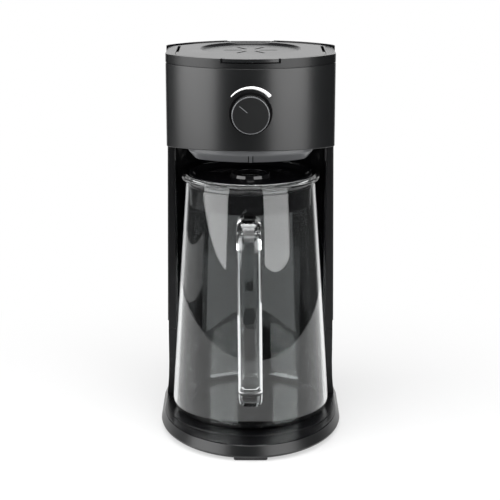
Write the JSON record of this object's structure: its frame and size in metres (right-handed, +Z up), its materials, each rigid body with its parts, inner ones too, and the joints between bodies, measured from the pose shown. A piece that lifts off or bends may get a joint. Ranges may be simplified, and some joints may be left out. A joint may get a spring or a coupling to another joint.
{
  "type": "iced tea maker",
  "caption": "Countertop iced tea maker: black column and brewing head with a hinged fill lid and strength knob over a clear glass jug with handle.",
  "frame": {"origin": "middle of the footprint, on the table under the feet", "axes": "+Z up, front towards -Y, +X to the right seen from the front"},
  "size_m": [0.174, 0.221, 0.3597],
  "materials": {
    "gloss_black_abs": "polished mould, glossy",
    "satin_black_abs": "fine satin texture",
    "grey_basket_plastic": "satin",
    "filter_mesh": "moulded frame with slots",
    "white_print": "printed white",
    "grey_inlay": "satin",
    "acetal": "natural",
    "steel": "bright",
    "cast_aluminium": "as cast",
    "brass": "plain",
    "silicone": "matt translucent",
    "rubber_black": "matt",
    "clear_tank": "clear smoke",
    "clear_glass": "polished"
  },
  "bodies": {
    "stand": {"base_shell": "gloss_black_abs", "column_front": "gloss_black_abs", "rear_cover": "gloss_black_abs", "head_shell": "satin_black_abs", "head_ring": "satin_black_abs", "base_plate": "satin_black_abs", "switch_body": "satin_black_abs", "cord_inlet": "satin_black_abs", "brew_basket": "grey_basket_plastic", "basket_deck": "grey_basket_plastic", "spray_head": "grey_basket_plastic", "tea_filter": "filter_mesh", "dial_scale": "white_print", "shaft_bush": "acetal", "check_valve": "acetal", "hinge_pin": "steel", "base_screws": "steel", "rocker_pin": "steel", "boiler_bracket": "steel", "thermostat": "steel", "boiler_block": "cast_aluminium", "thermal_fuse": "brass", "tank_hose": "silicone", "valve_hose": "silicone", "riser_tube": "silicone", "feet": "rubber_black", "water_tank": "clear_tank"},
    "lid": {"lid": "satin_black_abs"},
    "knob": {"knob": "satin_black_abs", "knob_pointer": "grey_inlay", "knob_shaft": "steel", "shaft_clip": "steel", "flow_disc": "acetal"},
    "rocker": {"power_rocker": "gloss_black_abs"},
    "jug": {"jug_glass": "clear_glass"},
    "jug_cap": {"jug_lid": "gloss_black_abs", "jug_gasket": "rubber_black"}
  },
  "joints": [
    {"name": "lid_hinge", "type": "hinge", "parent": "stand", "child": "lid", "pos_m": [0, 0.0956, 0.3567], "axis": [-1, 0, 0], "range_deg": [0, 95]},
    {"name": "knob_turn", "type": "hinge", "parent": "stand", "child": "knob", "pos_m": [0, -0.044, 0.3104], "axis": [0, 1, 0], "range_deg": [0, 100]},
    {"name": "rocker_press", "type": "hinge", "parent": "stand", "child": "rocker", "pos_m": [0.0783, 0.048, 0.064], "axis": [0, 1, 0], "range_deg": [0, 14]},
    {"name": "jug_slide", "type": "slide", "parent": "stand", "child": "jug", "axis": [0, -1, 0], "range_m": [0, 0.25]},
    {"name": "jug_lid_turn", "type": "hinge", "parent": "jug", "child": "jug_cap", "pos_m": [0, -0.003, 0.241], "axis": [0, 0, 1], "range_deg": [0, 90]}
  ]
}
